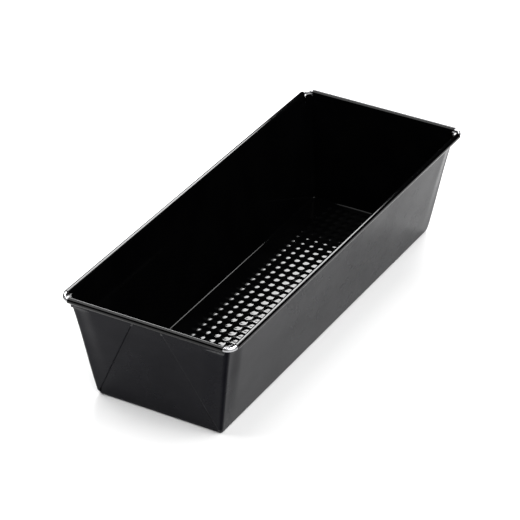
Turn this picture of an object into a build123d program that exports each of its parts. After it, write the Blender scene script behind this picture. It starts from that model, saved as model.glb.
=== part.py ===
from build123d import *
import os
from math import atan2, cos, degrees, radians, sin

# Folded sheet-metal loaf pan with a wired rim. Millimetres, +Z up.
# X runs along the pan's length, Y across it. The origin is the middle of the
# underside, so the pan rests on the plane z = 0.

# --- driving dimensions -------------------------------------------------------

SHEET = 0.5                   # thickness of the one sheet that the pan is folded from

RIM_HEIGHT = 71.9             # base to the centre line of the rim wire
FOOT_HALF_LENGTH = 137.3      # outside of the end walls, carried down to the base
FOOT_HALF_WIDTH = 43.5        # outside of the side walls, carried down to the base
RIM_HALF_LENGTH = 150.7       # outside of the end walls, carried up to RIM_HEIGHT
RIM_HALF_WIDTH = 56.8         # outside of the side walls, carried up to RIM_HEIGHT
WALL_TOP = 69.6               # top edge of the sheet at the four corners
FOOT_CORNER = 2.2             # outside radius of the upright corner folds at the base
RIM_CORNER = 3.7              # the same radius, at RIM_HEIGHT
FLOOR_BEND = 1.2              # inside radius between the floor and the walls

WIRE_DIAMETER = 2.8           # rim wire
WIRE_CLEARANCE = 0.05         # between the wire and the hem around it
WIRE_CORNER = 5.5             # centre-line radius where the wire turns a corner

HEM_SWEEP = 225               # degrees that a hem curls on from its highest line
HEM_ROOT = 66.0               # height where a hem's strip joins its wall
END_HEM_HALF = 53.0           # half the length of the hems on the end walls
SIDE_HEM_HALF = 146.2         # half the length of the hems on the side walls

EAR_STEP = 1.1                # two folded layers lying on the outside of an end wall
EAR_FOOT = 1.5                # height where an ear begins, above the corner's bend
EAR_TOP = 69.0                # top edge of the ears, just under the hem
EAR_TIP = 9.6                 # distance of an ear's tip from the pan's centre plane
EAR_FOLD = 0.45               # rounding along the ear's free fold

BUMP_PITCH = 7.0              # square grid of round bumps pressed up into the floor
BUMPS_ALONG = 38
BUMPS_ACROSS = 9
BUMP_HEIGHT = 0.3
BUMP_RADIUS = 2.9             # where a bump meets the flat of the floor

# --- worked out from them ------------------------------------------------------

END_LEAN = degrees(atan2(RIM_HALF_LENGTH - FOOT_HALF_LENGTH, RIM_HEIGHT))
SIDE_LEAN = degrees(atan2(RIM_HALF_WIDTH - FOOT_HALF_WIDTH, RIM_HEIGHT))
HEM_RADIUS = WIRE_DIAMETER / 2 + WIRE_CLEARANCE + SHEET / 2
BUMP_SPHERE = (BUMP_RADIUS ** 2 + BUMP_HEIGHT ** 2) / (2 * BUMP_HEIGHT)


def at_height(foot, rim, z):
    """Size at height z of something that grows evenly from the base to the rim."""
    return foot + (rim - foot) * z / RIM_HEIGHT


def mid_sheet(rim, lean):
    """Middle of a wall's sheet at RIM_HEIGHT, measured level."""
    return rim - SHEET / 2 / cos(radians(lean))


def wire_line(rim, lean):
    """Centre line of the rim wire, where a wall's middle runs tangent into its hem."""
    return mid_sheet(rim, lean) + HEM_RADIUS / cos(radians(lean))


def tapered_block(low, high, inset=0.0, end_step=0.0):
    """Solid of the pan's outside form, drawn in by inset, or out at its ends by end_step."""
    sections = []
    for z in (low, high):
        length = at_height(FOOT_HALF_LENGTH, RIM_HALF_LENGTH, z) + end_step
        width = at_height(FOOT_HALF_WIDTH, RIM_HALF_WIDTH, z)
        length -= inset / cos(radians(END_LEAN))
        width -= inset / cos(radians(SIDE_LEAN))
        corner = at_height(FOOT_CORNER, RIM_CORNER, z) - inset
        sections.append(Pos(0, 0, z) * RectangleRounded(2 * length, 2 * width, corner))
    return loft(sections, ruled=True)


def round_foot(block, radius):
    """Round the lowest edges of a tapered block."""
    return fillet(block.faces().sort_by(Axis.Z)[0].edges(), radius)


def tub():
    """Floor and four leaning walls, with the cavity still full."""
    return round_foot(tapered_block(0, WALL_TOP), FLOOR_BEND + SHEET)


def cavity():
    """Everything inside the sheet's inner surface."""
    above_rim = RIM_HEIGHT + 10
    return round_foot(tapered_block(SHEET, above_rim, inset=SHEET), FLOOR_BEND)


def ear():
    """Corner gusset folded double, flat on the outside of the +X end wall, at its +Y corner."""
    slope = (FOOT_HALF_WIDTH - EAR_TIP) / EAR_TOP
    foot_y = FOOT_HALF_WIDTH - slope * EAR_FOOT
    beyond = RIM_HALF_WIDTH + 10
    inside = FOOT_HALF_LENGTH - 10
    outline = Polyline(
        (inside, foot_y, EAR_FOOT),
        (inside, EAR_TIP, EAR_TOP),
        (inside, beyond, EAR_TOP),
        (inside, beyond, EAR_FOOT),
        close=True,
    )
    region = extrude(make_face(outline), amount=RIM_HALF_LENGTH, dir=(1, 0, 0))
    plate = region & tapered_block(0, WALL_TOP, end_step=EAR_STEP)
    middle = (EAR_FOOT + EAR_TOP) / 2
    outside = at_height(FOOT_HALF_LENGTH, RIM_HALF_LENGTH, middle) + EAR_STEP
    fold_middle = Vector(outside, (foot_y + EAR_TIP) / 2, middle)
    free_fold = plate.edges().sort_by_distance(fold_middle)[0]
    return fillet(free_fold, EAR_FOLD)


def at_four_corners(shape):
    """The shape and its mirror images about the pan's two centre planes."""
    pair = [shape, mirror(shape, Plane.XZ)]
    return pair + [mirror(one, Plane.YZ) for one in pair]


def hem_section(rim, lean):
    """Edge-on face of a wall's top strip: up the wall, over the wire and curled under it."""
    upwards = Vector(sin(radians(lean)), cos(radians(lean)))
    outwards = Vector(cos(radians(lean)), -sin(radians(lean)))
    centre = Vector(wire_line(rim, lean), RIM_HEIGHT)
    tangent_point = centre - outwards * HEM_RADIUS
    rise = (tangent_point.Y - HEM_ROOT) / cos(radians(lean))
    turn = -(90 - lean + HEM_SWEEP)
    sides = []
    for offset in (-SHEET / 2, SHEET / 2):
        bend = tangent_point + outwards * offset
        run = Line(bend - upwards * rise, bend)
        curl = JernArc(bend, upwards, HEM_RADIUS - offset, turn)
        sides.append((run, curl))
    (inner_run, inner_curl), (outer_run, outer_curl) = sides
    root = Line(inner_run @ 0, outer_run @ 0)
    lip = Line(inner_curl @ 1, outer_curl @ 1)
    return make_face([inner_run, inner_curl, outer_run, outer_curl, root, lip])


def end_hem():
    """Rolled hem on the +X end wall."""
    section = hem_section(RIM_HALF_LENGTH, END_LEAN)
    return extrude(Plane.XZ * section, amount=END_HEM_HALF, both=True)


def side_hem():
    """Rolled hem on the +Y side wall."""
    section = hem_section(RIM_HALF_WIDTH, SIDE_LEAN)
    return extrude(Plane.YZ * section, amount=SIDE_HEM_HALF, both=True)


def bump(radius, floor):
    """Dome of the given sphere radius, cut off level at floor."""
    centre = SHEET + BUMP_HEIGHT - BUMP_SPHERE
    keep = Box(20, 20, 20, align=(Align.CENTER, Align.CENTER, Align.MIN))
    return (Pos(0, 0, centre) * Sphere(radius)) & (Pos(0, 0, floor) * keep)


def pan_sheet():
    """The whole folded sheet: floor with bumps, walls, ears and hems."""
    sheet = tub() + at_four_corners(ear())
    sheet -= cavity()
    sheet += [end_hem(), mirror(end_hem(), Plane.YZ)]
    sheet += [side_hem(), mirror(side_hem(), Plane.XZ)]
    places = list(GridLocations(BUMP_PITCH, BUMP_PITCH, BUMPS_ALONG, BUMPS_ACROSS))
    sheet += [place * bump(BUMP_SPHERE, SHEET / 2) for place in places]
    sheet -= [place * bump(BUMP_SPHERE - SHEET, -1) for place in places]
    return sheet


def rim_wire():
    """Closed loop of round wire inside the hems, bare at the four corners."""
    length = 2 * wire_line(RIM_HALF_LENGTH, END_LEAN)
    width = 2 * wire_line(RIM_HALF_WIDTH, SIDE_LEAN)
    loop = RectangleRounded(length, width, WIRE_CORNER)
    path = Pos(0, 0, RIM_HEIGHT) * loop.wire()
    start = Plane(origin=path @ 0, z_dir=path % 0)
    return sweep(start * Circle(WIRE_DIAMETER / 2), path=path)


os.makedirs("parts", exist_ok=True)
for name, make in {"pan_sheet": pan_sheet, "rim_wire": rim_wire}.items():
    shape = make()
    solids = shape.solids()
    print(name, "solids", len(solids), "volume", round(sum(s.volume for s in solids), 1))
    part = solids[0] if len(solids) == 1 else Compound(children=solids)
    export_step(part, f"parts/{name}.step")
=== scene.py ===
"""Looks of the folded loaf pan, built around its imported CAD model.

Sizes are in millimetres in the CAD frame, and become metres where meshes are made.
"""
import math

import bmesh
import bpy
import numpy as np
from mathutils import Matrix, Quaternion, Vector


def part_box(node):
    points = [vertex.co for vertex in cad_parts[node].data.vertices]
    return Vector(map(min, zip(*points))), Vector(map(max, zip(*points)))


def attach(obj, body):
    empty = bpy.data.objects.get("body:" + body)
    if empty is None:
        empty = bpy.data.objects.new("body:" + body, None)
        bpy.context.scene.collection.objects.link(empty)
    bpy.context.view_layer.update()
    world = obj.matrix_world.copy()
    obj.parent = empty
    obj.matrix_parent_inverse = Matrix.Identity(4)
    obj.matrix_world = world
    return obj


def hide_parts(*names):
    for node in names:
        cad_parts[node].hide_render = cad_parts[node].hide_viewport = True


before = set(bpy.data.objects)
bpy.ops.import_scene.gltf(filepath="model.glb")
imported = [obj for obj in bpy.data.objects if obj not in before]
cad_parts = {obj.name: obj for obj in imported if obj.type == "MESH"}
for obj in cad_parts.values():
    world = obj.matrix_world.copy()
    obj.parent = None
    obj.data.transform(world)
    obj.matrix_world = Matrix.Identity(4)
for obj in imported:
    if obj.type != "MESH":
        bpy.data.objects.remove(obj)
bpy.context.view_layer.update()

MM = 0.001                                  # one millimetre, in metres

# --- sizes --------------------------------------------------------------------
# The rim wire's line comes from the CAD model; the sheet's form repeats the part's.

wire_low, wire_high = (1000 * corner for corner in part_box("rim_wire"))
WIRE_RADIUS = (wire_high.z - wire_low.z) / 2
RIM_Z = (wire_high.z + wire_low.z) / 2
WIRE_X = wire_high.x - WIRE_RADIUS          # centre line of the wire, along the ends
WIRE_Y = wire_high.y - WIRE_RADIUS          # and along the sides
WIRE_CORNER = 5.5                           # its radius where it turns a corner

SHEET = 0.5                                 # thickness
CLEARANCE = 0.05                            # between the wire and the hem round it
CURL = WIRE_RADIUS + CLEARANCE + SHEET / 2  # middle of the hem's sheet round the wire
HEM_SWEEP = 225                             # degrees that a hem curls on from its highest line
CURL_TURN = math.radians(90 + HEM_SWEEP)    # and from where it leaves the wall
FOOT_X, FOOT_Y = 137.3, 43.5                # outside of the walls, carried down to the base
TOP_X, TOP_Y = 150.7, 56.8                  # and carried up to the wire's height
LEAN_X = math.atan2(TOP_X - FOOT_X, RIM_Z)
LEAN_Y = math.atan2(TOP_Y - FOOT_Y, RIM_Z)
SHEET_X = SHEET / math.cos(LEAN_X)          # the walls' thickness, measured level
SHEET_Y = SHEET / math.cos(LEAN_Y)
CORNER_LOW, CORNER_HIGH = 2.2, 3.7          # outside radius of an upright corner, base and rim
CORNER_LEAST = 0.35                         # and the least, round the floor's bend
INNER_LEAST = 0.2                           # least inside radius of a corner
BEND = 1.2                                  # inside radius of the floor's bend
WALL_TOP = 69.6
CORNER_TOP = 72.3                           # a tab at the corner reaches up behind the wire
TAB_RISE, TAB_FALL = (0, 0.08), (0.85, 1)   # its two ends, as shares of the way round the corner
HEM_X = 146.2                               # half length of the side hems

EAR_STEP = 1.1                              # an ear's two layers stand out this far
EAR_RISE = 1.2, 3.4                         # heights between which an ear grows to that
EAR_TOP = 69.0
EAR_TIP = 9.6                               # an ear's tip, from the pan's centre plane
EAR_FOOT = 43.5                             # its free fold, carried down to the base
EAR_LEAST = 0.15                            # least width of an ear, at its foot
EAR_LAYERS = (                              # top edge: share of the step out, depth of a slit
    (0.57, 0), (0.57, 2.4), (0.51, 2.4),
    (0.51, 0.25), (0.07, 0.25), (0.07, 2.4), (0.0, 2.4),
)

PITCH = 7.0                                 # square grid of the floor's bumps
BUMPS_ALONG, BUMPS_ACROSS = 38, 9
BUMP_ROUND = 13.6                           # a bump is a shallow dome, this round
BUMP_CROWN = 2.55                           # radius where the dome begins to run out
BUMP_EDGE = 3.15                            # radius where it meets the flat

PULL = 1.4                                  # the upright corners are drawn in this far
PULL_REACH = 14.0                           # over this much of the walls beside them
PULL_FULL = 62.0                            # height where they are fully drawn in
PULL_FADE = 65.5, 68.4                      # heights where the walls straighten under the hems

# --- columns and levels of the sheet's mesh -------------------------------------
# A level section of one quarter runs along the side wall, round the corner, across the ear,
# round its free fold and along the end wall. These are its columns, as shares of each run, and
# round the fold as angles.

SIDE = np.concatenate([np.linspace(0, 0.9, 31), np.linspace(0.9, 1, 13)[1:]])
ARC = np.linspace(0, 1, 11)[1:]
EAR = np.linspace(0, 1, 25)[1:]
FOLD = np.radians(np.linspace(0, -150, 12))[1:]
FOLD_ROOT = 0.55                            # where the fold meets the wall, in fold radii
END = np.linspace(0, 1, 19)[1:]

N_SIDE = len(SIDE) + 2                      # the last two lie past the side hem's end
HEM_COL = len(SIDE) - 1                     # last column of the side hem
CORNER_END = N_SIDE - 1 + len(ARC)          # first column under the end hem
FOLD_COL = CORNER_END + len(EAR)            # where the free fold begins
FOLD_END = FOLD_COL + len(FOLD)             # and where it ends
LAST_COL = FOLD_END + 1 + len(END)          # on the pan's centre plane

CORNER = slice(HEM_COL, CORNER_END + 1)     # between the hems
UNDER_SIDE_HEM = range(HEM_COL)
BETWEEN_HEMS = range(HEM_COL, CORNER_END)
UNDER_END_HEM = range(CORNER_END, LAST_COL)

BEND_SHARES = np.linspace(0, 1, 9)[:-1]     # round the floor's bend
SUPPORT = 0.2                               # a ring this far inside it keeps the floor flat
WALL_LEVELS = (1.75, 2.2, 2.8, 3.4, 4, 5, 6, 7, 9, 12, 16, 20, 25, 30, 35, 40, 45, 50, 54, 58, 61,
               64, 66, 67.5, 68.4)
CURL_STEPS = 46
BUMP_STEPS = 12                             # mesh lines per bump pitch
PROFILE_STEPS = 400                         # samples of a bump's profile

MERGE = 2e-6                                # metres: vertices nearer than this become one
SHARP = 40                                  # degrees: steeper edges are shaded sharp

INSIDE, OUTSIDE, CUT = 0, 1, 2              # material slots of the sheet

# shares of the coating's specular level, set by place as painted light: dimmed round the floor's bend
# and on the inner walls to hold back their reflections, kept higher on the hems for their highlight,
# and dimmed round the upright corners outside as painted shade
BEND_PAINTED_SHINE, WALL_PAINTED_DIMMING, HEM_PAINTED_SHINE = 0.35, 0.08, 0.8
# painted shade: the share of specular level kept round the upright corners outside
CORNER_PAINTED_SHADE = 0.15


# --- small helpers ------------------------------------------------------------

def ease(x, low, high):
    """0 below low, 1 above high, smooth between."""
    t = np.clip((np.asarray(x, float) - low) / (high - low), 0, 1)
    return t * t * (3 - 2 * t)


def between(low, high, z):
    """A size that grows evenly from low at the base to high at the wire's height."""
    return low + (high - low) * z / RIM_Z


def with_height(points, z):
    return np.column_stack([points, np.full(len(points), z)])


def falling(values):
    """The values, each held down to the least before it."""
    return np.minimum.accumulate(values)


def new_object(name, data):
    obj = bpy.data.objects.new(name, data)
    bpy.context.scene.collection.objects.link(obj)
    return obj


# --- the folded sheet, one quarter (x and y above 0), mirrored at the end -------

def skins(wx, wy, rc, step, crease):
    """Level section: the outer and the inner skin, column by column, as two (n, 2) arrays.

    wx and wy are the outside of the walls, rc the corner's radius, step how far the ear stands
    out and crease the y of its free fold.
    """
    ri = max(rc - SHEET, INNER_LEAST)
    start = wx + step - rc
    inner_start = wx - SHEET_X - ri
    hem_end = start * HEM_X / (TOP_X + EAR_STEP - CORNER_HIGH)
    inner_past_hem = hem_end + (inner_start - hem_end) / 2
    outer = [(x, wy) for x in np.append(SIDE * hem_end, [(hem_end + start) / 2, start])]
    inner = [(x, wy - SHEET_Y) for x in np.append(SIDE * hem_end, [inner_past_hem, inner_start])]
    for a in ARC * math.pi / 2:
        outer.append((start + rc * math.sin(a), wy - rc + rc * math.cos(a)))
        inner.append((inner_start + ri * math.sin(a), wy - SHEET_Y - ri + ri * math.cos(a)))
    fold = step / 2
    ear_start = wy - rc
    fold_start = min(crease + fold, ear_start - EAR_LEAST)
    inner_ear = wy - SHEET_Y - ri
    inner_fold = min(fold_start, inner_ear)
    for t in EAR:
        outer.append((wx + step, ear_start + (fold_start - ear_start) * t))
        inner.append((wx - SHEET_X, inner_ear + (inner_fold - inner_ear) * t))
    for a in FOLD:
        outer.append((wx + fold + fold * math.cos(a), fold_start + fold * math.sin(a)))
        inner.append((wx - SHEET_X, inner_fold))
    root = fold_start - fold * FOLD_ROOT
    inner_root = min(root, inner_fold)
    outer.append((wx, root))
    inner.append((wx - SHEET_X, inner_root))
    for t in END:
        outer.append((wx, root * (1 - t)))
        inner.append((wx - SHEET_X, inner_root * (1 - t)))
    return np.array(outer), np.array(inner)


def crease_at(z):
    """y of the ear's free fold at height z."""
    return EAR_FOOT - (EAR_FOOT - EAR_TIP) * z / EAR_TOP


def drawn_in(outer, z):
    """How far each column is drawn in at height z, along x and y alike."""
    away = np.zeros(len(outer))
    away[:N_SIDE] = outer[N_SIDE - 1, 0] - outer[:N_SIDE, 0]
    away[CORNER_END:] = outer[CORNER_END, 1] - outer[CORNER_END:, 1]
    away[FOLD_COL:FOLD_END + 1] = away[FOLD_COL]
    pull = PULL * ease(z, 0, PULL_FULL) * (1 - ease(away, 0, PULL_REACH))
    under_hem = np.ones(len(outer), bool)
    under_hem[HEM_COL + 1:CORNER_END] = False
    return np.where(under_hem, pull * (1 - ease(z, *PULL_FADE)), pull)[:, None]


def wall_row(z):
    """Both skins at height z on the walls."""
    step = EAR_STEP * float(ease(z, *EAR_RISE))
    corner = between(CORNER_LOW, CORNER_HIGH, z)
    wx, wy = between(FOOT_X, TOP_X, z), between(FOOT_Y, TOP_Y, z)
    outer, inner = skins(wx, wy, corner, step, crease_at(z))
    pull = drawn_in(outer, z)
    return with_height(outer - pull, z), with_height(inner - pull, z)


def bend_row(share, inset=0.0):
    """Both skins round the floor's bend, from the flat (0) up to the walls (1)."""
    centre = BEND + SHEET
    angle = -math.pi / 2 + share * (math.pi / 2 - LEAN_X)
    rows = []
    # skins() steps the inner skin in by one sheet, so its walls are given one sheet out
    for skin, radius, out_x, out_y in ((0, BEND + SHEET, 0, 0), (1, BEND, SHEET_X, SHEET_Y)):
        z = centre + radius * math.sin(angle)
        reach = radius * math.cos(angle) - inset
        wx = between(FOOT_X, TOP_X, centre) - centre / math.cos(LEAN_X) + reach + out_x
        wy = between(FOOT_Y, TOP_Y, centre) - centre / math.cos(LEAN_Y) + reach + out_y
        corner = between(CORNER_LOW, CORNER_HIGH, z) - (between(FOOT_X, TOP_X, z) - wx)
        pair = skins(wx, wy, max(corner, CORNER_LEAST), 0.0, crease_at(z))
        rows.append(with_height(pair[skin], z))
    return rows


def top_rows():
    """Both skins at the top of the plain walls, of the ear and of the tab at the corner."""
    outer, inner = wall_row(EAR_TOP)
    across = np.linspace(0, 1, CORNER_END - HEM_COL + 1)
    outer[:HEM_COL + 1, 2] = WALL_TOP
    outer[CORNER, 2] = WALL_TOP + (EAR_TOP - WALL_TOP) * across
    inner[:, 2] = WALL_TOP
    tab = (ease(across, *TAB_RISE) * (1 - ease(across, *TAB_FALL)))[:, None]
    for row, raised in zip((outer, inner), wall_row(CORNER_TOP)):
        row[CORNER] += (raised[CORNER] - row[CORNER]) * tab
    return outer, inner


def curl_rows():
    """Both skins of the hems, from the tangent point over the wire and under it."""
    top_outer, top_inner = wall_row(RIM_Z)
    top_outer[:, 1] = falling(top_outer[:, 1])
    outer_rows, inner_rows = [], []
    for turn in np.linspace(0, 1, CURL_STEPS):
        side = math.pi - LEAN_Y - turn * (CURL_TURN - LEAN_Y)
        end = math.pi - LEAN_X - turn * (CURL_TURN - LEAN_X)
        for rows, radius, top in ((outer_rows, CURL - SHEET / 2, top_outer),
                                  (inner_rows, CURL + SHEET / 2, top_inner)):
            row = top.copy()
            row[:HEM_COL + 1, 0] = SIDE * HEM_X
            row[:HEM_COL + 1, 1] = WIRE_Y + radius * math.cos(side)
            row[:HEM_COL + 1, 2] = RIM_Z + radius * math.sin(side)
            row[CORNER_END:, 0] = WIRE_X + radius * math.cos(end)
            row[CORNER_END:, 2] = RIM_Z + radius * math.sin(end)
            rows.append(row)
    return outer_rows, inner_rows


class Quarter:
    """Vertices and faces of one quarter, mirrored into the whole when it is finished."""

    def __init__(self):
        self.verts, self.painted_shine, self.faces, self.kinds = [], [], [], []

    def row(self, points, painted_shine):
        """Adds points with their share of the coating's specular level, a painted light and shade, and
        returns their numbers.
        """
        first = len(self.verts)
        self.verts.extend(map(tuple, points))
        self.painted_shine.extend(np.broadcast_to(painted_shine, len(points)))
        return np.arange(first, len(self.verts))

    def face(self, corners, kind):
        self.faces.append(tuple(int(i) for i in corners))
        self.kinds.append(kind)

    def strip(self, low, high, kind, columns=None):
        """Faces between two rows, over the given columns or all of them."""
        for c in range(len(low) - 1) if columns is None else columns:
            self.face((low[c], low[c + 1], high[c + 1], high[c]), kind)

    def strips(self, rows, kind, columns=None):
        for low, high in zip(rows, rows[1:]):
            self.strip(low, high, kind, columns)

    def whole(self, name):
        """The mesh of all four quarters, joined at the centre planes."""
        mesh = bpy.data.meshes.new(name)
        bm = bmesh.new()
        painted_shine = bm.verts.layers.float.new("painted_shine")
        for sx in (1, -1):
            for sy in (1, -1):
                made = [bm.verts.new((x * sx * MM, y * sy * MM, z * MM)) for x, y, z in self.verts]
                for vert, value in zip(made, self.painted_shine):
                    vert[painted_shine] = value
                for corners, kind in zip(self.faces, self.kinds):
                    order = corners if sx * sy > 0 else corners[::-1]
                    bm.faces.new([made[i] for i in order]).material_index = kind
        bmesh.ops.remove_doubles(bm, verts=bm.verts, dist=MERGE)
        bmesh.ops.dissolve_degenerate(bm, edges=bm.edges, dist=MERGE / 20)
        bmesh.ops.recalc_face_normals(bm, faces=bm.faces)
        for face in bm.faces:
            face.smooth = True
        bm.to_mesh(mesh)
        bm.free()
        mesh.set_sharp_from_angle(angle=math.radians(SHARP))
        return mesh


def ear_top(q, start, top):
    """The ear's two folded layers with their slits, then the wall behind them."""
    wall_x = between(FOOT_X, TOP_X, EAR_TOP)
    proud = (top[:, 0] - wall_x) / EAR_STEP
    chain = [start]
    for share, depth in EAR_LAYERS:
        row = top.copy()
        row[:, 0] = wall_x + EAR_STEP * share * proud
        row[:, 2] = EAR_TOP - depth * np.clip(proud, 0, 1)
        chain.append(q.row(row, 1.0))
    q.strips(chain, CUT, UNDER_END_HEM)
    wall, _ = wall_row(EAR_TOP)
    wall[:, 0] = between(FOOT_X, TOP_X, WALL_TOP)
    wall[:, 1] = falling(wall[:, 1])
    wall[:, 2] = WALL_TOP
    chain.append(q.row(wall, 1.0))
    q.strip(chain[-2], chain[-1], OUTSIDE, UNDER_END_HEM)
    return chain


def hems(q, outer_top, chain, inner_top):
    """The hems, their lips and their cut ends, and the cut end of the ear's layers."""
    curl_outer, curl_inner = curl_rows()
    curl_outs = [q.row(row, 1.0) for row in curl_outer]
    # Painted highlight: the hems' inside skin keeps most of the coating's specular level.
    curl_ins = [q.row(row, HEM_PAINTED_SHINE) for row in curl_inner]
    ins = [inner_top] + curl_ins
    for first, edge, columns in ((outer_top, HEM_COL, UNDER_SIDE_HEM),
                                 (chain[-1], CORNER_END, UNDER_END_HEM)):
        outs = [first] + curl_outs
        q.strips(outs, OUTSIDE, columns)
        q.strips(ins, INSIDE, columns)
        q.strip(outs[-1], ins[-1], CUT, columns)
        for a, b, c, d in zip(outs, ins, ins[1:], outs[1:]):
            q.face((a[edge], b[edge], c[edge], d[edge]), CUT)
    q.face([row[CORNER_END] for row in chain] + [inner_top[CORNER_END]], CUT)


def bump_profile():
    """Radii, slope and height of a bump: a shallow dome with a soft run-out."""
    r = np.linspace(0, BUMP_EDGE, PROFILE_STEPS)
    slope = r / BUMP_ROUND * (1 - ease(r, BUMP_CROWN, BUMP_EDGE))
    height = np.cumsum(slope[::-1])[::-1] * (r[1] - r[0])
    return r, slope, height


def floor_grid():
    """x, y, height and slope at the mesh points over the bumps of one quarter."""
    xs = np.linspace(0, PITCH * BUMPS_ALONG / 2, BUMP_STEPS * BUMPS_ALONG // 2 + 1)
    ys = np.linspace(0, PITCH * BUMPS_ACROSS / 2, BUMP_STEPS * BUMPS_ACROSS // 2 + 1)
    gx, gy = np.meshgrid(xs, ys, indexing="ij")
    # an even number of bumps lies along the pan, and an odd number across it
    r = np.hypot(gx % PITCH - PITCH / 2, (gy + PITCH / 2) % PITCH - PITCH / 2)
    radii, slope, height = bump_profile()
    return gx, gy, np.interp(r, radii, height, right=0), np.interp(r, radii, slope, right=0)


def floor_skin(q, edge_row, gx, gy, heights, kind):
    """Bumps and the flat margin round them, out to the floor's bend."""
    points = np.column_stack([gx.ravel(), gy.ravel(), heights.ravel()])
    ids = q.row(points, 1.0).reshape(gx.shape)
    q.strips(ids, kind)
    zip_up(q, edge_row, np.append(ids[:, -1], ids[-1, -2::-1]), kind)


def zip_up(q, first, second, kind):
    """Triangles between two lines of points that run side by side round the corner."""
    def keys(line):
        points = np.array([q.verts[i][:2] for i in line])
        share = points / points.max(0)
        return np.where(share[:, 0] > share[:, 1], 2 - share[:, 1], share[:, 0])
    a_keys, b_keys = keys(first), keys(second)
    a = b = 0
    while a < len(first) - 1 or b < len(second) - 1:
        second_done = b == len(second) - 1
        if second_done or (a < len(first) - 1 and a_keys[a + 1] <= b_keys[b + 1]):
            q.face((first[a], first[a + 1], second[b]), kind)
            a += 1
        else:
            q.face((first[a], second[b + 1], second[b]), kind)
            b += 1


def sheet_mesh():
    q = Quarter()
    pairs = [bend_row(0, SUPPORT)]
    pairs += [bend_row(share) for share in BEND_SHARES]
    pairs += [wall_row(z) for z in WALL_LEVELS]
    top = top_rows()
    outer_rows, inner_rows = zip(*pairs, top)
    # Painted shade: the outside's specular level is dimmed round the upright corners.
    outer_painted_shine = np.ones(LAST_COL + 1)
    corner_shade_weight = np.sin(np.pi * np.append(0, ARC)) ** 2
    outer_painted_shine[N_SIDE - 1:CORNER_END + 1] -= (1 - CORNER_PAINTED_SHADE) * corner_shade_weight
    outs = [q.row(row, outer_painted_shine) for row in outer_rows]
    # Painted shade: the inside's specular level is dimmed on the floor's bend and on the walls, to
    # hold back their reflections.
    ins = [q.row(row, BEND_PAINTED_SHINE if row[0, 2] < WALL_LEVELS[0] else WALL_PAINTED_DIMMING) for row in inner_rows]
    q.strips(outs, OUTSIDE)
    q.strips(ins, INSIDE)
    chain = ear_top(q, outs[-1], top[0])
    hems(q, outs[-1], chain, ins[-1])
    q.strip(outs[-1], ins[-1], CUT, BETWEEN_HEMS)
    gx, gy, rise, slope = floor_grid()
    under = rise + SHEET - SHEET * np.sqrt(1 + slope ** 2)
    floor_skin(q, ins[0], gx, gy, SHEET + rise, INSIDE)
    floor_skin(q, outs[0], gx, gy, np.maximum(under, 0), OUTSIDE)
    return q.whole("folded_sheet")


# --- the rim wire -------------------------------------------------------------

WIRE_TURN_STEPS = 19                        # points round each corner
WIRE_STEP = 8                               # about this far between points on the straights
WIRE_SIDES = 32
WIRE_UV = 100                               # millimetres along the wire to one unit of UV


def wire_path():
    """Points of the wire's line, each with the direction that is outwards there."""
    points = []
    straight_x, straight_y = WIRE_X - WIRE_CORNER, WIRE_Y - WIRE_CORNER
    for sx, sy, start in ((1, 1, 0), (-1, 1, 90), (-1, -1, 180), (1, -1, 270)):
        for a in np.radians(np.linspace(start, start + 90, WIRE_TURN_STEPS)):
            points.append((sx * straight_x + WIRE_CORNER * math.cos(a),
                           sy * straight_y + WIRE_CORNER * math.sin(a), a))
    dense = []
    for (x, y, a), (next_x, next_y, _) in zip(points, points[1:] + points[:1]):
        steps = max(int(math.hypot(next_x - x, next_y - y) // WIRE_STEP), 1)
        for k in range(steps):
            t = k / steps
            dense.append((x + (next_x - x) * t, y + (next_y - y) * t, a))
    return dense


def wire_mesh():
    path = wire_path()
    mesh = bpy.data.meshes.new("rim_wire_round")
    bm = bmesh.new()
    uv = bm.loops.layers.uv.new("along")
    rings, run = [], [0.0]
    for i, (x, y, a) in enumerate(path):
        if i:
            run.append(run[-1] + math.hypot(x - path[i - 1][0], y - path[i - 1][1]))
        ring = []
        for k in range(WIRE_SIDES):
            t = 2 * math.pi * k / WIRE_SIDES
            out = WIRE_RADIUS * math.cos(t)
            ring.append(bm.verts.new(((x + out * math.cos(a)) * MM, (y + out * math.sin(a)) * MM,
                                      (RIM_Z + WIRE_RADIUS * math.sin(t)) * MM)))
        rings.append(ring)
    run.append(run[-1] + WIRE_STEP)
    for i, a in enumerate(rings):
        b = rings[(i + 1) % len(rings)]
        for k in range(WIRE_SIDES):
            m = (k + 1) % WIRE_SIDES
            face = bm.faces.new((a[k], b[k], b[m], a[m]))
            face.smooth = True
            places = ((run[i], k), (run[i + 1], k), (run[i + 1], k + 1), (run[i], k + 1))
            for loop, (along, round_it) in zip(face.loops, places):
                loop[uv].uv = (along / WIRE_UV, round_it / WIRE_SIDES)
    bmesh.ops.recalc_face_normals(bm, faces=bm.faces)
    bm.to_mesh(mesh)
    bm.free()
    return mesh


# --- materials ----------------------------------------------------------------

NOISE_SPREAD = 0.3, 0.7                     # most of a noise's values lie between these
FULL_GLOSS = 0.27                           # specular level of the inside, where the painted share of it is full
COOL_SHEEN = (0.9, 0.9, 1.0, 1)
MICRON = 1e-6                               # metres


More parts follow.
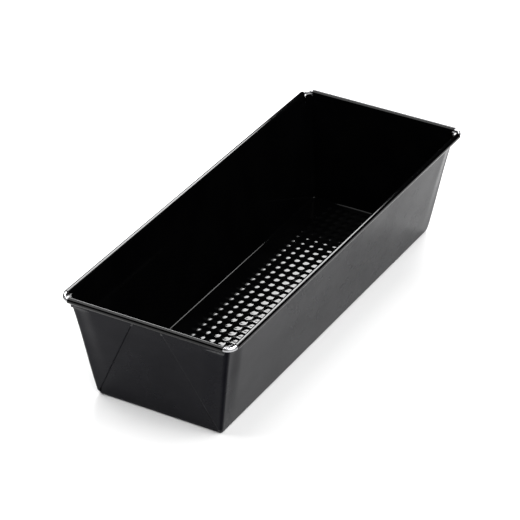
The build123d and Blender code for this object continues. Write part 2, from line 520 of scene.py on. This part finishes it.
class Nodes:
    """Short way to write a material's nodes round one Principled shader."""

    def __init__(self, name):
        self.material = bpy.data.materials.new(name)
        self.material.use_nodes = True
        self.tree = self.material.node_tree
        self.tree.nodes.clear()
        output = self.tree.nodes.new("ShaderNodeOutputMaterial")
        self.shader = self.tree.nodes.new("ShaderNodeBsdfPrincipled")
        self.tree.links.new(self.shader.outputs["BSDF"], output.inputs["Surface"])

    def feed(self, node, key, value):
        """Links an output to a node's input, or sets the input to a plain value."""
        if hasattr(value, "is_output"):
            self.tree.links.new(value, node.inputs[key])
        else:
            node.inputs[key].default_value = value

    def add(self, kind, inputs=(), **settings):
        node = self.tree.nodes.new(kind)
        for key, value in settings.items():
            setattr(node, key, value)
        for key, value in dict(inputs).items():
            self.feed(node, key, value)
        return node

    def set(self, **inputs):
        for key, value in inputs.items():
            self.feed(self.shader, key.replace("_", " "), value)

    def place(self, scale=(1, 1, 1)):
        """Place on the object, in metres times scale."""
        where = self.add("ShaderNodeTexCoord").outputs["Object"]
        return self.add("ShaderNodeMapping", {"Vector": where, "Scale": scale}).outputs["Vector"]

    def noise(self, vector, scale, detail, rough=0.5):
        return self.add("ShaderNodeTexNoise", {"Vector": vector, "Scale": scale, "Detail": detail,
                                               "Roughness": rough}).outputs["Fac"]

    def spread(self, value, least, most):
        """A noise value, spread over least to most."""
        low, high = NOISE_SPREAD
        return self.add("ShaderNodeMapRange", {"Value": value, "From Min": low, "From Max": high,
                                               "To Min": least, "To Max": most}).outputs["Result"]

    def tint(self, value, dark, light, places=NOISE_SPREAD):
        """Colour between dark and light, by a noise value."""
        node = self.add("ShaderNodeValToRGB", {"Fac": value})
        for element, place, colour in zip(node.color_ramp.elements, places, (dark, light)):
            element.position = place
            element.color = (*colour, 1)
        return node.outputs["Color"]

    def painted_shine(self, level):
        """A specular level, times the share that the mesh keeps there, which paints light and shade by
        place.
        """
        share = self.add("ShaderNodeAttribute", attribute_name="painted_shine").outputs["Fac"]
        return self.add("ShaderNodeMath", {0: level, 1: share}, operation="MULTIPLY").outputs["Value"]

    def bump(self, height, strength, microns, normal=None):
        inputs = {"Height": height, "Strength": strength, "Distance": microns * MICRON}
        if normal is not None:
            inputs["Normal"] = normal
        return self.add("ShaderNodeBump", inputs).outputs["Normal"]


def glossy_coating():
    """Black coating of the inside, glossy with a faint orange peel."""
    n = Nodes("coating_inside")
    at = n.place()
    cloud = n.noise(at, scale=45, detail=4)
    peel = n.bump(n.noise(at, scale=520, detail=2), strength=0.06, microns=30)
    grain = n.bump(n.noise(at, scale=2600, detail=2), strength=0.05, microns=10, normal=peel)
    n.set(Base_Color=n.tint(cloud, (0.0006, 0.0006, 0.0007), (0.0011, 0.0011, 0.0012)),
          Roughness=n.spread(cloud, 0.045, 0.06),
          Specular_IOR_Level=n.painted_shine(FULL_GLOSS),
          Normal=grain)
    return n.material


def satin_coating():
    """The same coating outside: rougher, a little cooler and smudged by handling."""
    n = Nodes("coating_outside")
    at = n.place()
    cloud = n.noise(at, scale=28, detail=5, rough=0.6)
    smudge = n.noise(n.place((1, 1, 2.2)), scale=17, detail=6, rough=0.68)
    peel = n.bump(n.noise(at, scale=700, detail=3), strength=0.12, microns=50)
    grain = n.bump(n.noise(at, scale=3200, detail=2), strength=0.18, microns=20, normal=peel)
    n.set(Base_Color=n.tint(cloud, (0.0026, 0.0026, 0.0040), (0.0050, 0.0050, 0.0068)),
          Roughness=n.spread(cloud, 0.22, 0.30),
          Specular_IOR_Level=n.painted_shine(n.spread(smudge, 0.061, 0.090)),
          Specular_Tint=COOL_SHEEN,
          Normal=grain)
    return n.material


def cut_edge():
    """Sheared edge of the sheet, dark with overspray and half bare."""
    n = Nodes("cut_sheet_edge")
    speckle = n.noise(n.place(), scale=900, detail=4, rough=0.7)
    n.set(Base_Color=n.tint(speckle, (0.012, 0.012, 0.013), (0.07, 0.07, 0.072), (0.35, 0.65)),
          Metallic=0.5,
          Roughness=n.spread(speckle, 0.3, 0.55),
          Normal=n.bump(speckle, strength=0.3, microns=50))
    return n.material


def bare_wire():
    """Drawn steel with streaks along it and fine pits."""
    n = Nodes("drawn_wire")
    uv = n.add("ShaderNodeTexCoord").outputs["UV"]
    along = n.add("ShaderNodeMapping", {"Vector": uv, "Scale": (14, 60, 1)}).outputs["Vector"]
    streaks = n.noise(along, scale=6, detail=5, rough=0.65)
    drawn = n.bump(streaks, strength=0.15, microns=30)
    pits = n.bump(n.noise(n.place(), scale=1800, detail=3), strength=0.12, microns=20, normal=drawn)
    n.set(Base_Color=n.tint(streaks, (0.28, 0.28, 0.29), (0.46, 0.46, 0.47)),
          Metallic=1.0,
          Roughness=n.spread(streaks, 0.2, 0.32),
          Normal=pits)
    return n.material


def pale_floor():
    n = Nodes("pale_floor")
    cloud = n.noise(n.place(), scale=6, detail=2)
    n.set(Base_Color=n.tint(cloud, (0.92, 0.92, 0.92), (0.94, 0.94, 0.94)), Roughness=0.9)
    return n.material


# --- the object ---------------------------------------------------------------

sheet = new_object("folded_sheet", sheet_mesh())
for material in (glossy_coating(), satin_coating(), cut_edge()):
    sheet.data.materials.append(material)
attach(sheet, "root")
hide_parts("pan_sheet")

wire = new_object("rim_wire_round", wire_mesh())
wire.data.materials.append(bare_wire())
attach(wire, "root")
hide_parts("rim_wire")

# --- floor, light and camera, in metres -----------------------------------------

FLOOR_HALF = 6
FLOOR_GAP = 0.0002                          # just below the pan, so that no faces coincide

floor_mesh = bpy.data.meshes.new("floor")
floor_corners = [(sx * FLOOR_HALF, sy * FLOOR_HALF, 0)
                 for sx, sy in ((-1, -1), (1, -1), (1, 1), (-1, 1))]
floor_mesh.from_pydata(floor_corners, [], [(0, 1, 2, 3)])
floor_mesh.materials.append(pale_floor())
floor = new_object("floor", floor_mesh)
floor.location.z = -FLOOR_GAP


def toward(azimuth, elevation):
    """Unit vector from the pan towards azimuth (0 is +X, 90 is +Y) and elevation."""
    a, e = math.radians(azimuth), math.radians(elevation)
    return Vector((math.cos(a) * math.cos(e), math.sin(a) * math.cos(e), math.sin(e)))


def softbox(name, place, target, size, watts, roll=0.0):
    """Rectangular light at place, aimed at target and turned by roll degrees about its axis."""
    data = bpy.data.lights.new(name, "AREA")
    data.shape = "RECTANGLE"
    data.size, data.size_y = size
    data.energy = watts
    light = new_object(name, data)
    light.location = place
    aim = (Vector(target) - Vector(place)).to_track_quat("-Z", "Y")
    light.rotation_euler = (aim @ Quaternion((0, 0, 1), math.radians(roll))).to_euler()


# The strip lights the bumps, the bend lines and the rims. The others light the floor and the
# outside of the walls.
softbox("back_strip", toward(20, 44) * 1.6, target=(0, 0, 0.03), size=(1.15, 0.42), watts=26, roll=-24)
softbox("left_softbox", toward(115, 58) * 1.1, target=(-0.1, 0, 0), size=(0.9, 0.7), watts=8)
softbox("front_softbox", toward(-112, 50) * 2.0, target=(0, 0, 0), size=(2.2, 1.4), watts=44)
softbox("right_fill", toward(-45, 58) * 2.2, target=(0.1, -0.3, 0), size=(1.4, 1.4), watts=14)

world = bpy.data.worlds.new("studio")
world.use_nodes = True
world.node_tree.nodes["Background"].inputs["Color"].default_value = (0, 0, 0, 1)
bpy.context.scene.world = world
bpy.context.scene.view_settings.view_transform = "Standard"

# The camera stands off one corner, a little above, with a long lens.
AZIMUTH, ELEVATION, ROLL = -60.823, 31.432, 0.529
LENS, SENSOR = 188.198, 36                  # millimetres
CENTRE = Vector((-1.28678, -0.71025, 0.93392))
azimuth, elevation = math.radians(AZIMUTH), math.radians(ELEVATION)
back = Vector((math.sin(azimuth) * math.cos(elevation), -math.cos(azimuth) * math.cos(elevation),
               math.sin(elevation)))
level = Vector((0, 0, 1)).cross(back).normalized()
right = Matrix.Rotation(math.radians(ROLL), 3, back) @ level
up = back.cross(right)
camera_data = bpy.data.cameras.new("camera")
camera_data.sensor_width = SENSOR
camera_data.lens = LENS
camera = new_object("camera", camera_data)
camera.matrix_world = Matrix((right, up, back)).transposed().to_4x4()
camera.location = CENTRE
bpy.context.scene.camera = camera
bpy.context.view_layer.update()
